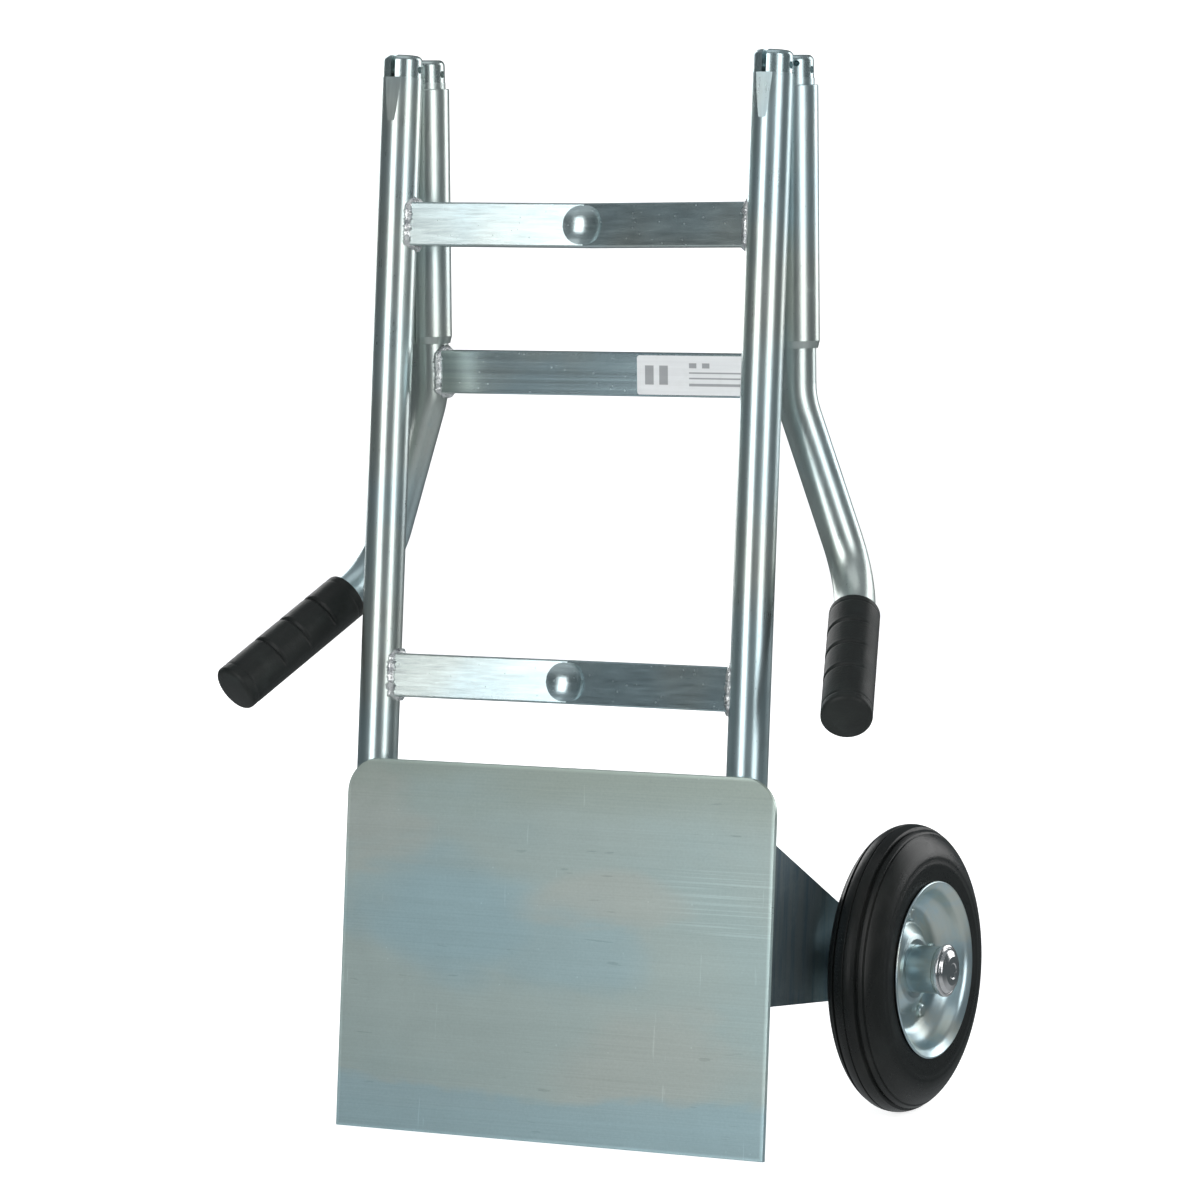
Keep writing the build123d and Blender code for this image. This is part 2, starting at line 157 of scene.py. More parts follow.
class HandTruckFinishes(bpy.types.PropertyGroup):
    """Colours of the finishes."""
    zinc: FloatVectorProperty(
        name="Zinc", description="Bright zinc plating", subtype="COLOR", size=3,
        default=(0.57, 0.645, 0.65))
    zinc_sheet: FloatVectorProperty(
        name="Zinc sheet", description="Dull zinc plating of the toe plate", subtype="COLOR",
        size=3, default=(0.375, 0.455, 0.440))
    # Zinc of the wheel brackets, made dark as painted shade
    zinc_shaded: FloatVectorProperty(
        name="Dark zinc", description="Zinc plating of the wheel brackets", subtype="COLOR",
        size=3, default=(0.20, 0.25, 0.27))
    chrome: FloatVectorProperty(
        name="Chrome", description="Chrome of the axle caps", subtype="COLOR", size=3,
        default=(0.72, 0.72, 0.73))
    weld: FloatVectorProperty(
        name="Weld", description="Metal of the weld beads", subtype="COLOR", size=3,
        default=(0.74, 0.76, 0.76))
    tyre: FloatVectorProperty(
        name="Tyre rubber", description="Solid rubber of the tyres", subtype="COLOR", size=3,
        default=(0.0065, 0.0075, 0.0072))
    grip: FloatVectorProperty(
        name="Grip rubber", description="Rubber of the grips", subtype="COLOR", size=3,
        default=(0.0076, 0.0094, 0.0088))
    plastic: FloatVectorProperty(
        name="Bush plastic", description="Plastic of the wheel bushes", subtype="COLOR", size=3,
        default=(0.05, 0.05, 0.055))
    label: FloatVectorProperty(
        name="Label", description="Face of the rating label", subtype="COLOR", size=3,
        default=(0.66, 0.68, 0.69))
    floor: FloatVectorProperty(
        name="Floor", description="Studio floor", subtype="COLOR", size=3,
        default=(0.78, 0.78, 0.78))


class HandTruckStudio(bpy.types.PropertyGroup):
    """Camera and lights."""
    target: FloatVectorProperty(
        name="Target", description="Point that the camera looks at", subtype="TRANSLATION",
        size=3, default=(0.0269, -0.1002, 0.3646))
    distance: FloatProperty(
        name="Distance", description="Camera to target", default=3.8636, unit="LENGTH")
    azimuth: FloatProperty(
        name="Azimuth", description="Camera position round the truck", default=math.radians(28.61),
        subtype="ANGLE")
    elevation: FloatProperty(
        name="Elevation", description="Camera position above the horizon",
        default=math.radians(5.10), subtype="ANGLE")
    roll: FloatProperty(
        name="Roll", description="Camera roll", default=math.radians(-0.68), subtype="ANGLE")
    lens: FloatProperty(
        name="Lens", description="Focal length in millimetres", default=171.0, min=10.0)
    key_power: FloatProperty(
        name="Key light", description="Power of the front softbox in watts", default=27.0)
    side_power: FloatProperty(
        name="Side light", description="Power of the side softbox in watts", default=20.0)
    back_power: FloatProperty(
        name="Back lights", description="Power of each back softbox in watts", default=26.0)
    top_power: FloatProperty(
        name="Top light", description="Power of the overhead softbox in watts", default=9.0)
    air: FloatProperty(
        name="Room light", description="Strength of the even light all round", default=0.11)


# ---- finishes as node expressions

class Value:
    """A shader socket. Arithmetic on it adds the Math nodes that work it out."""

    def __init__(self, finish, socket):
        self.finish = finish
        self.socket = socket

    def math(self, operation, *others):
        values = dict(enumerate((self, *others)))
        return self.finish.add("ShaderNodeMath", {"operation": operation}, values)

    def __add__(self, other):
        return self.math("ADD", other)

    def __sub__(self, other):
        return self.math("SUBTRACT", other)

    def __mul__(self, other):
        return self.math("MULTIPLY", other)

    def __truediv__(self, other):
        return self.math("DIVIDE", other)

    def __rsub__(self, other):
        return self.finish.add("ShaderNodeMath", {"operation": "SUBTRACT"}, {0: other, 1: self})

    def __rtruediv__(self, other):
        return self.finish.add("ShaderNodeMath", {"operation": "DIVIDE"}, {0: other, 1: self})

    def __pow__(self, other):
        return self.math("POWER", other)

    def __abs__(self):
        return self.math("ABSOLUTE")

    __radd__ = __add__
    __rmul__ = __mul__

    def least(self, other):
        return self.math("MINIMUM", other)

    def most(self, other):
        return self.math("MAXIMUM", other)

    def between(self, low, high):
        """0 at low, 1 at high, smooth and limited in between. Low may be above high."""
        return self.finish.add(
            "ShaderNodeMapRange", {"interpolation_type": "SMOOTHSTEP"},
            {"Value": self, "From Min": low, "From Max": high, "To Min": 0.0, "To Max": 1.0})


class Sheet:
    """A node tree that is put together from expressions."""

    def __init__(self, tree):
        self.nodes = tree.nodes
        self.links = tree.links

    def add(self, kind, settings=None, sockets=None, output=0):
        """Adds a node: its settings first, then the values or links of its sockets."""
        node = self.nodes.new(kind)
        for key, setting in (settings or {}).items():
            setattr(node, key, setting)
        for key, value in (sockets or {}).items():
            self.feed(node.inputs[key], value)
        return Value(self, node.outputs[output])

    def feed(self, socket, value):
        if isinstance(value, Value):
            self.links.new(value.socket, socket)
        elif socket.type == "RGBA" and len(value) == 3:
            socket.default_value = (*value, 1.0)
        else:
            socket.default_value = value

    def noise(self, place, scale, detail=3.0, roughness=0.5, distortion=0.0):
        return self.add("ShaderNodeTexNoise", {}, {
            "Vector": place, "Scale": scale, "Detail": detail, "Roughness": roughness,
            "Distortion": distortion})

    def cells(self, place, scale):
        """Distance to the nearest of scattered points."""
        return self.add("ShaderNodeTexVoronoi", {"feature": "F1"},
                        {"Vector": place, "Scale": scale}, "Distance")

    def axis(self, place, name):
        return self.add("ShaderNodeSeparateXYZ", {}, {0: place}, name)

    def mix(self, amount, first, second):
        """Second colour over the first by the amount."""
        factor, colour_a, colour_b, colour_out = 0, 6, 7, 2
        return self.add("ShaderNodeMix", {"data_type": "RGBA"},
                        {factor: amount, colour_a: first, colour_b: second}, colour_out)

    def shade(self, colour, amount):
        """Colour made lighter or darker by a value round 1."""
        return self.add("ShaderNodeVectorMath", {"operation": "SCALE"}, {0: colour, "Scale": amount})

    def bump(self, height, strength, depth):
        return self.add("ShaderNodeBump", {},
                        {"Height": height, "Strength": strength, "Distance": depth}, "Normal")

    def from_axle(self, place):
        """Distance from the axle, for pieces that turn about X."""
        y, z = self.axis(place, "Y"), self.axis(place, "Z")
        return (y * y + z * z) ** 0.5

    def rings(self, radius, scale, detail, roughness):
        """Fine turned rings."""
        outwards = self.add("ShaderNodeCombineXYZ", {}, {"X": radius * scale})
        return self.noise(outwards, 1.0, detail, roughness)

    def specks(self, place, scale, size):
        """Small round marks, 1 in the marks."""
        return self.cells(place, scale).between(size, size * 0.5)

    def scratches(self, place, scale, rarity=0.68):
        """Short thin marks that follow the stretch of the place, 1 in the marks."""
        return self.noise(place, scale, 2.0, 0.55).between(rarity, rarity + 0.05)


class Finish(Sheet):
    """A material for one kind of surface."""

    def __init__(self, name):
        self.material = bpy.data.materials.new(name)
        self.material.use_nodes = True
        super().__init__(self.material.node_tree)
        self.nodes.clear()
        self.shader = self.nodes.new("ShaderNodeBsdfPrincipled")
        output = self.nodes.new("ShaderNodeOutputMaterial")
        self.links.new(self.shader.outputs["BSDF"], output.inputs["Surface"])

    def surface(self, **values):
        """Feeds the shader's sockets; an underscore stands for a space in a socket's name."""
        for key, value in values.items():
            self.feed(self.shader.inputs[key.replace("_", " ")], value)
        return self.material

    def place(self, stretch=(1, 1, 1), lean=0.0, shift=(0, 0, 0)):
        """Position on the piece, leaned about X and stretched along its axes."""
        here = self.add("ShaderNodeTexCoord", output="Object")
        turned = self.add("ShaderNodeMapping", {"vector_type": "POINT"},
                          {"Vector": here, "Location": shift, "Rotation": (lean, 0, 0)})
        return self.add("ShaderNodeVectorMath", {"operation": "MULTIPLY"}, {0: turned, 1: stretch})


def tinted(colour, red, green, blue):
    return (colour[0] * red, colour[1] * green, colour[2] * blue)


# Stretch of the marks on long stock, by the axis that the stock runs along
LINES_ALONG = {"X": (0.3, 60, 60), "Z": (90, 90, 1.5)}
BANDS_ALONG = {"X": (0.25, 11, 11), "Z": (6, 6, 1)}
RUBS_ACROSS = {"X": (14, 14, 1.2), "Z": (1.2, 1.2, 14)}
LEAST_ROUGHNESS = 0.12
SKIN_DEPTH = 0.0006


def zinc_finish(name, colour, along, roughness=0.30, lines=1.0, stain=1.0, dirt=0.5):
    """Drawn steel with bright zinc plating: lines along the stock, drifting tint, rubs and specks."""
    finish = Finish(name)
    lean = lean_angle()
    here = finish.place(lean=lean)
    drawn = finish.noise(finish.place(LINES_ALONG[along], lean), 8.0, 4.0, 0.6)
    bands = finish.noise(finish.place(BANDS_ALONG[along], lean), 9.0, 3.0, 0.55)
    drift = finish.noise(here, 6.0, 3.0, 0.5, 0.4)
    cloud = finish.noise(here, 38.0, 4.0, 0.6)
    rubs = finish.scratches(finish.place(RUBS_ACROSS[along], lean), 12.0, 0.70)
    rubs = rubs * cloud.between(0.45, 0.6)
    nicks = finish.specks(here, 170.0, 0.10)
    tone = finish.mix(drift.between(0.40, 0.62), tinted(colour, 0.90, 0.99, 1.03),
                      tinted(colour, 1.03, 0.99, 0.93))
    tone = finish.mix(cloud.between(0.56, 0.76) * (0.3 * stain), tone,
                      tinted(colour, 0.78, 0.88, 0.92))
    light = 1.0 + (drawn - 0.5) * (0.26 * lines) + (bands - 0.5) * (0.24 * lines)
    tone = finish.shade(tone, light - nicks * (0.35 * dirt) + rubs * 0.04)
    rough = (roughness + (drawn - 0.5) * 0.10 + (cloud - 0.5) * (0.14 * stain) + rubs * 0.08
             + nicks * 0.2)
    grain = finish.noise(here, 420.0, 2.0)
    relief = drawn * 0.5 + cloud * (0.3 * stain) + grain * 0.3 - rubs * 0.05
    return finish.surface(
        Base_Color=tone, Metallic=0.96, Roughness=rough.most(LEAST_ROUGHNESS),
        Normal=finish.bump(relief, 0.06, SKIN_DEPTH))


# Stains of the toe plate as fractions of it: (across, up, half width, half height, strength)
COLD_STAINS = ((0.22, 0.60, 0.22, 0.22, 1.0), (0.48, 0.52, 0.22, 0.14, 0.7))
ROSY_STAINS = (
    (0.62, 0.66, 0.24, 0.08, 1.0), (0.74, 0.22, 0.26, 0.14, 1.0), (0.05, 0.86, 0.14, 0.10, 1.0),
    (0.15, 0.12, 0.30, 0.05, 0.6),
)
BOTTOM_BAND = (0.040, 0.032)  # fades out between these heights above the lower edge
TOP_BAND = (0.040, 0.002)  # fades in between these distances below the upper edge
WORN_SPOT_HEIGHT = 0.165


def sheet_finish():
    """Dull zinc sheet: fine lines across, bluish and pinkish stains, scuffs, and rubbed edges that
    carry a painted highlight.
    """
    finish = Finish("zinc_sheet")
    colour = tuple(finishes().zinc_sheet)
    lean = lean_angle()
    here = finish.place(lean=lean)
    drawn = finish.noise(finish.place((1.2, 60, 160), lean), 7.0, 5.0, 0.65)
    bands = finish.noise(finish.place((0.5, 1, 9), lean), 5.0, 4.0, 0.6, 0.3)
    blue = finish.noise(finish.place((0.7, 1, 1.2), lean, (0.31, 0, 0.12)), 5.6, 4.0, 0.55, 0.7)
    pink = finish.noise(finish.place((0.6, 1, 1.4), lean, (-0.2, 0.4, 0.33)), 7.0, 4.0, 0.6, 0.9)
    mottle = finish.noise(here, 60.0, 5.0, 0.7)
    grain = finish.noise(here, 520.0, 2.0, 0.6)
    scuffs = finish.scratches(finish.place((3, 1, 22), lean, (0.1, 0, 0.3)), 9.0, 0.70)
    score = finish.scratches(finish.place((30, 1, 2.5), lean), 9.0, 0.71)
    specks = finish.specks(here, 95.0, 0.075) * mottle.between(0.45, 0.6)
    low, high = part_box("toe_plate")
    across, up = (finish.axis(finish.place(), name) for name in ("X", "Z"))
    drift = (blue - 0.5) * 0.5
    size = high - low

    def stains(patches):
        """Soft patches with wandering edges."""
        covered = None
        for x, z, width, height, strength in patches:
            aside = (across - low.x) / size.x - x + drift
            above = (up - low.z) / size.z - z + (pink - 0.5) * 0.4
            away = (aside * aside) / (width * width) + (above * above) / (height * height)
            patch = away.between(1.5, 0.2) * strength
            covered = patch if covered is None else covered.most(patch)
        return covered

    cold, rosy = stains(COLD_STAINS), stains(ROSY_STAINS)
    tone = finish.mix(blue.between(0.46, 0.64) * 0.45, colour, tinted(colour, 0.92, 1.00, 1.04))
    tone = finish.mix(cold * 0.9, tone, tinted(colour, 0.84, 0.98, 1.09))
    tone = finish.mix(rosy * 0.8, tone, tinted(colour, 1.10, 1.00, 0.97))
    wavy = up - low.z + (pink - 0.5) * 0.07 + (bands - 0.5) * 0.02
    tone = finish.mix(wavy.between(*BOTTOM_BAND) * 0.8, tone, tinted(colour, 0.84, 0.98, 1.10))
    top_start, top_end = (size.z - below for below in TOP_BAND)
    tone = finish.mix(wavy.between(top_start, top_end) * 0.6, tone, tinted(colour, 0.80, 0.76, 0.68))
    worn = across.between(high.x - 0.10, high.x - 0.04)
    worn = worn * abs(up - low.z - WORN_SPOT_HEIGHT).between(0.035, 0.015)
    score = score.most(finish.scratches(finish.place((0.8, 1, 110), lean), 6.0, 0.56) * worn)
    side = (across - low.x).least(high.x - across)
    # Painted highlight: lightens the plate within about 3 mm of its border; the same mask also makes
    # the edges smoother, as rubbed
    edge = side.least(up - low.z).least(high.z - up).between(0.0032, 0.0008)
    light = (1.0 + (drawn - 0.5) * 0.26 + (bands - 0.5) * 0.18 + (mottle - 0.5) * 0.12
             + (grain - 0.5) * 0.16 + score * 0.16 + edge * 0.40 + specks * 0.22 - scuffs * 0.12)
    tone = finish.shade(tone, light)
    rough = (0.46 + (drawn - 0.5) * 0.14 + (mottle - 0.5) * 0.14 - edge * 0.12 - score * 0.05
             + scuffs * 0.08)
    relief = drawn * 0.6 + mottle * 0.3 + grain * 0.3 - scuffs * 0.3
    return finish.surface(
        Base_Color=tone, Metallic=0.82, Roughness=rough,
        Normal=finish.bump(relief, 0.20, SKIN_DEPTH))


def bracket_finish():
    """Cut steel plate with streaky zinc, darkened all over with painted shade."""
    finish = Finish("zinc_bracket")
    # Painted shade: this dark colour darkens the whole bracket and the toe plate's ears
    colour = tuple(finishes().zinc_shaded)
    here = finish.place()
    streak = finish.noise(finish.place((1, 14, 1.2), lean_angle()), 9.0, 5.0, 0.65)
    mottle = finish.noise(here, 45.0, 5.0, 0.7)
    grain = finish.noise(here, 480.0, 2.0)
    tone = finish.mix(streak.between(0.40, 0.68), colour, tinted(colour, 0.62, 0.74, 0.84))
    tone = finish.mix(mottle.between(0.56, 0.76) * 0.5, tone, tinted(colour, 1.35, 1.30, 1.22))
    tone = finish.shade(tone, 1.0 + (grain - 0.5) * 0.2)
    rough = 0.42 + (streak - 0.5) * 0.22 + (mottle - 0.5) * 0.16
    return finish.surface(
        Base_Color=tone, Metallic=0.85, Roughness=rough,
        Normal=finish.bump(streak * 0.4 + mottle * 0.5 + grain * 0.3, 0.18, SKIN_DEPTH))


def rim_finish():
    """Pressed zinc-plated rim: turned lines round the axle, soft pressing marks and painted shade
    towards the hub.
    """
    finish = Finish("zinc_rim")
    colour = tuple(finishes().zinc)
    here = finish.place()
    radius = finish.from_axle(here)
    rings = finish.rings(radius, 900.0, 3.0, 0.6)
    cloud = finish.noise(here, 34.0, 4.0, 0.6, 0.5)
    tone = finish.mix(cloud.between(0.40, 0.66), tinted(colour, 0.90, 1.0, 1.06),
                      tinted(colour, 1.04, 1.0, 0.93))
    # Painted shade: the rim darkens towards the hub, at the bottom of its dish
    tone = finish.mix(radius.between(0.026, 0.019) * 0.35, tone, tinted(colour, 0.60, 0.62, 0.62))
    tone = finish.shade(tone, 1.0 + (rings - 0.5) * 0.14)
    rough = 0.31 + (rings - 0.5) * 0.08 + (cloud - 0.5) * 0.14
    return finish.surface(
        Base_Color=tone, Metallic=0.97, Roughness=rough.most(LEAST_ROUGHNESS),
        Normal=finish.bump(rings * 0.25 + cloud * 0.7, 0.14, SKIN_DEPTH))


def chrome_finish():
    """Polished chrome with hairline rubs and a little haze."""
    finish = Finish("chrome_cap")
    colour = tuple(finishes().chrome)
    here = finish.place()
    haze = finish.noise(here, 120.0, 4.0, 0.6)
    rubs = finish.scratches(finish.place((1, 9, 1)), 60.0)
    tone = finish.mix(haze.between(0.45, 0.75) * 0.4, colour, tinted(colour, 0.86, 0.84, 0.82))
    return finish.surface(
        Base_Color=tone, Metallic=1.0, Roughness=0.11 + haze * 0.08 + rubs * 0.16,
        Normal=finish.bump(haze * 0.6 - rubs * 0.4, 0.12, 0.0003))


def weld_finish():
    """Weld metal: bright ripples with heat tint and darker patches at random."""
    finish = Finish("weld")
    colour = tuple(finishes().weld)
    here = finish.place()
    grain = finish.noise(here, 700.0, 4.0, 0.7)
    patch = finish.noise(here, 160.0, 3.0, 0.6)
    tone = finish.mix(patch.between(0.46, 0.66), colour, tinted(colour, 0.55, 0.56, 0.58))
    tone = finish.mix(grain.between(0.60, 0.75) * 0.5, tone, tinted(colour, 0.92, 0.91, 0.86))
    return finish.surface(
        Base_Color=tone, Metallic=0.92, Roughness=0.16 + (grain - 0.5) * 0.3 + patch * 0.15,
        Normal=finish.bump(grain + patch, 0.5, 0.0007))


def tyre_finish():
    """Solid black rubber with moulding rings, dust in the grooves and scuffed high spots."""
    finish = Finish("tyre_rubber")
    colour = tuple(finishes().tyre)
    here = finish.place()
    radius = finish.from_axle(here)
    rings = finish.rings(radius, 420.0, 2.0, 0.5)
    grain = finish.noise(here, 900.0, 3.0, 0.7)
    scuff = finish.noise(finish.place((5, 1, 1)), 22.0, 4.0, 0.65, 0.5)
    dust = finish.noise(here, 14.0, 4.0, 0.6).between(0.46, 0.72) * radius.between(0.070, 0.100)
    tone = finish.mix(scuff.between(0.50, 0.75) * 0.55, colour, tinted(colour, 1.8, 1.9, 1.85))
    tone = finish.mix(dust * 0.16, tone, (0.05, 0.048, 0.043))
    tone = finish.shade(tone, 1.0 + (rings - 0.5) * 0.35 + (grain - 0.5) * 0.5)
    rough = 0.31 + (scuff - 0.5) * 0.24 + (grain - 0.5) * 0.2 + dust * 0.18
    return finish.surface(
        Base_Color=tone, Metallic=0.0, Roughness=rough, Specular_IOR_Level=0.27,
        Normal=finish.bump(rings * 0.5 + grain * 0.35 + scuff * 0.3, 0.30, SKIN_DEPTH))


def grip_finish():
    """Moulded black grip rubber with a fine leathery skin."""
    finish = Finish("grip_rubber")
    colour = tuple(finishes().grip)
    here = finish.place()
    skin = finish.cells(here, 620.0)
    cloud = finish.noise(here, 60.0, 4.0, 0.6)
    worn = finish.noise(here, 22.0, 3.0, 0.6).between(0.50, 0.72)
    tone = finish.mix(cloud.between(0.48, 0.74) * 0.6, colour, tinted(colour, 1.8, 1.9, 1.95))
    tone = finish.mix(worn * 0.30, tone, tinted(colour, 2.2, 2.3, 2.2))
    rough = 0.50 + (cloud - 0.5) * 0.24 - worn * 0.08
    return finish.surface(
        Base_Color=tone, Metallic=0.0, Roughness=rough, Specular_IOR_Level=0.32,
        Normal=finish.bump(skin * 0.7 + cloud * 0.3, 0.25, 0.0005))


def plastic_finish():
    """Dark bush plastic with grease marks."""
    finish = Finish("bush_plastic")
    colour = tuple(finishes().plastic)
    here = finish.place()
    grain = finish.noise(here, 300.0, 3.0)
    grease = finish.noise(here, 40.0, 3.0).between(0.5, 0.7)
    tone = finish.mix(grease * 0.5, colour, tinted(colour, 0.6, 0.5, 0.4))
    return finish.surface(Base_Color=tone, Roughness=0.5 - grease * 0.25 + (grain - 0.5) * 0.2,
                          Normal=finish.bump(grain, 0.2, 0.0004))


def lean_angle():
    """How far the tubes lean back, in radians."""
    up = upright().to_3x3() @ Vector((0, 0, 1))
    return math.atan2(up.y, up.z)


# ---- mesh work

def new_piece(name, points, faces, body, slot, material, stands_for=(), place=None, sharp=35.0):
    """A finished mesh piece that rides on a body and stands for CAD nodes."""
    mesh = bpy.data.meshes.new(name)
    mesh.from_pydata(points, [], faces)
    work = bmesh.new()
    work.from_mesh(mesh)
    bmesh.ops.remove_doubles(work, verts=work.verts, dist=1e-6)
    bmesh.ops.recalc_face_normals(work, faces=work.faces)
    work.to_mesh(mesh)
    work.free()
    mesh.polygons.foreach_set("use_smooth", [True] * len(mesh.polygons))
    mesh.set_sharp_from_angle(angle=math.radians(sharp))
    mesh.materials.append(material)
    piece = bpy.data.objects.new(name, mesh)
    bpy.context.scene.collection.objects.link(piece)
    piece.matrix_world = place or Matrix.Identity(4)
    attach(piece, body)
    if stands_for:
        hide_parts(*stands_for)
    return piece


def rounded(outline, steps=7):
    """Closed outline of (x, r, corner radius) points with each corner rounded."""
    result = []
    count = len(outline)
    for index, (x, r, corner) in enumerate(outline):
        here = Vector((x, r))
        before = Vector(outline[index - 1][:2])
        after = Vector(outline[(index + 1) % count][:2])
        to_before, to_after = before - here, after - here
        turn = to_before.angle(to_after, math.pi)
        if corner <= 0 or turn > math.radians(176):
            result.append(here)
            continue
        run = min(corner / math.tan(turn / 2), to_before.length * 0.48, to_after.length * 0.48)
        first = here + to_before.normalized() * run
        last = here + to_after.normalized() * run
        for step in range(steps + 1):
            t = step / steps
            result.append(first * (1 - t) ** 2 + here * (2 * t * (1 - t)) + last * t ** 2)
    return [(point.x, point.y) for point in result]


def loop_faces(loops, size, closed=True):
    """Faces between each loop of points and the next, and from the last to the first if closed."""
    faces = []
    for loop in range(loops if closed else loops - 1):
        here, there = loop * size, (loop + 1) % loops * size
        for index in range(size):
            after = (index + 1) % size
            faces.append((here + index, here + after, there + after, there + index))
    return faces


def turned_mesh(outline, steps):
    """Points and faces of a closed outline of (x, radius) turned about X."""
    points = []
    for step in range(steps):
        angle = 2 * math.pi * step / steps
        points += [(x, r * math.cos(angle), r * math.sin(angle)) for x, r in outline]
    return points, loop_faces(steps, len(outline))


def scaled(outline):
    """Outline in metres from one in millimetres."""
    return [(x * MM, r * MM, corner * MM) for x, r, corner in outline]


RIPPLE_PITCH = 0.0021
RIPPLE, LONG_LUMPS, SHORT_LUMPS, ROUGH_SKIN = 0.10, 0.42, 0.30, 0.30  # shares of the bead's radius


def swept_bead(path, radius, seed, sides=10):
    """Closed bead round a path of (point, outward) pairs, rippled and lumpy like weld metal."""
    chance = random.Random(seed)
    points = []
    count = len(path)
    shift = chance.uniform(0, 50)
    travel = 0.0
    for index, (point, outward) in enumerate(path):
        along = (path[(index + 1) % count][0] - path[index - 1][0]).normalized()
        travel += (point - path[index - 1][0]).length
        sideways = along.cross(outward).normalized()
        ripple = RIPPLE * math.sin(travel / RIPPLE_PITCH * 2 * math.pi)
        lump = LONG_LUMPS * noise.noise(Vector((travel * 260 + shift, seed, 0)))
        lump += SHORT_LUMPS * noise.noise(Vector((travel * 640 + shift, 0, seed)))
        size = radius * (1 + ripple + lump)
        for side in range(sides):
            angle = 2 * math.pi * side / sides
            offset = outward * math.cos(angle) * size + sideways * math.sin(angle) * size * 1.15
            jitter = ROUGH_SKIN * noise.noise((point + offset) * 620 + Vector((shift, 0, 0)))
            points.append(point + offset * (1 + jitter))
    return points, loop_faces(count, sides)


def joined(parts):
    """Several (points, faces) pairs as one."""
    points, faces = [], []
    for more_points, more_faces in parts:
        start = len(points)
        points += list(more_points)
        faces += [tuple(start + index for index in face) for face in more_faces]
    return points, faces


BAR_CORNER = 0.0022
FARTHEST_ROUND_TUBE = 0.00015  # square of how far back a bead may wrap round the tube


def bar_end_path(side, base, bow, place):
    """Points round the end of a crossbar, where it meets the round tube."""
    size = sizes()
    half, top = size.bar_depth / 2, size.bar_height
    tall, wide = top - 2 * BAR_CORNER, 2 * (half - BAR_CORNER)
    tall_steps, wide_steps = 26, 14

    def on_tube(y_squared):
        return size.tube_spread - math.sqrt(size.tube_radius ** 2 - y_squared)

    ups = [step / tall_steps for step in range(tall_steps)]
    backs = [step / wide_steps for step in range(wide_steps)]
    loop = [(-half, BAR_CORNER + tall * t, (0, -1, 0)) for t in ups]
    loop += [(BAR_CORNER - half + wide * t, top, (0, 0, 1)) for t in backs]
    loop += [(half, top - BAR_CORNER - tall * t, (0, 1, 0)) for t in ups]
    loop += [(half - BAR_CORNER - wide * t, 0, (0, 0, -1)) for t in backs]
    path = []
    for y, z, way in loop:
        y += bow * (size.bar_slope_reach - on_tube(y ** 2)) / size.bar_slope_reach
        reach = on_tube(min(y ** 2, FARTHEST_ROUND_TUBE))
        outward = (place.to_3x3() @ (Vector(way) * 0.8 + Vector((-side * 0.6, 0, 0)))).normalized()
        path.append((place @ Vector((side * reach, y, base + z)), outward))
    return path


def bracket_path(side, place):
    """Points up one face of a wheel bracket and down the other, where it stands on the tube."""
    size = sizes()
    apart, lift, steps, turns = 0.0032, 0.0004, 60, range(1, 8)
    low, high = size.bracket_foot, size.bracket_head
    depth = math.sqrt(size.tube_radius ** 2 - apart ** 2) + lift
    ups = [(high - low) * step / steps for step in range(steps)]
    loop = [(apart, low + up, (0.7, 0.7, 0)) for up in ups]
    loop += [(apart * (1 - turn / 4), high, (0, 0.6, 0.8)) for turn in turns]
    loop += [(-apart, high - up, (-0.7, 0.7, 0)) for up in ups]
    loop += [(-apart * (1 - turn / 4), low, (0, 0.6, -0.8)) for turn in turns]
    return [(place @ Vector((side * size.tube_spread + x, depth, z)),
             (place.to_3x3() @ Vector(way)).normalized()) for x, z, way in loop]


# ---- operators

def paint(names, material):
    """Gives CAD nodes their finish."""
    for name in names:
        if name not in frame["nodes"]:
            raise RuntimeError(f"the packed model has no {name}")
        node = frame["nodes"][name]
        node.data.materials.clear()
        node.data.materials.append(material)


def both(*names):
    return [f"{side}_{name}" for side, _sign in SIDES for name in names]


class TruckOperator(bpy.types.Operator):
    """Base of the operators that finish a group of pieces."""
    bl_options = {"REGISTER", "UNDO"}

    def execute(self, context):
        self.make()
        return {"FINISHED"}

    def make(self):
        """Does the operator's work, and raises on failure."""
        raise NotImplementedError


class HANDTRUCK_OT_tubes(TruckOperator):
    """Finishes the frame tubes, the handle tubes and the lock sleeves"""
    bl_idname = "hand_truck.tubes"
    bl_label = "Tubes and Sleeves"

    def make(self):
        zinc = tuple(finishes().zinc)
        paint(both("frame_tube"), zinc_finish("zinc_tube", zinc, "Z", 0.30))
        paint(both("handle_tube"), zinc_finish("zinc_handle", zinc, "Z", 0.31, lines=0.8, stain=1.2))
        paint(both("sleeve"), zinc_finish("zinc_sleeve", zinc, "Z", 0.31, lines=0.7, stain=0.8))


class HANDTRUCK_OT_crossbars(TruckOperator):
    """Finishes the crossbars"""
    bl_idname = "hand_truck.crossbars"
    bl_label = "Crossbars"

    def make(self):
        zinc = tuple(finishes().zinc)
        bars = ["upper_crossbar", "lower_crossbar", "handle_crossbar"]
        tone = tinted(zinc, 0.98, 1.0, 1.02)
        paint(bars, zinc_finish("zinc_bar", tone, "X", 0.24, lines=2.6, stain=0.4, dirt=0.15))


